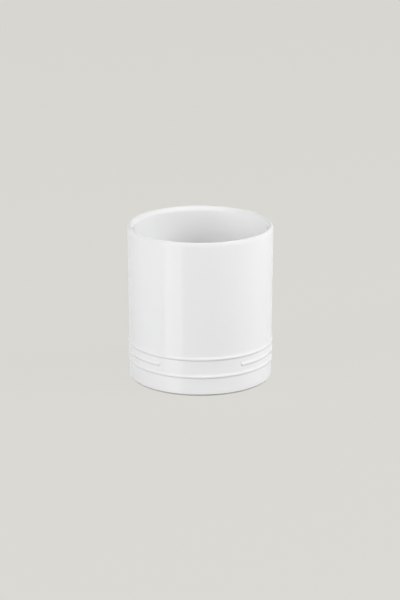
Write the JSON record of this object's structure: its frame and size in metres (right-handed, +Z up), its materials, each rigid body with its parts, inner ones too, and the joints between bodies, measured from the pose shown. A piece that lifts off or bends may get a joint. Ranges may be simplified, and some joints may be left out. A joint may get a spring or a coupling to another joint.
{
  "type": "utensil jar",
  "caption": "Open glazed stoneware jar, nearly straight-sided, with a rounded lip, relief rings near the base and a bare foot ring; cooking utensils stand in it.",
  "frame": {"origin": "middle of the foot ring, on the surface that the jar stands on", "axes": "+Z up along the jar's axis; -Y towards the front, where the middle relief ring is broken off; +X to the right as seen from the front"},
  "size_m": [0.115, 0.115, 0.124],
  "materials": {
    "bare_stoneware": "fired, unglazed and matt",
    "white_glaze": "white, opaque and glossy"
  },
  "bodies": {
    "root": {"stoneware_body": "bare_stoneware", "outer_glaze": "white_glaze", "inner_glaze": "white_glaze", "base_glaze": "white_glaze"}
  },
  "joints": []
}
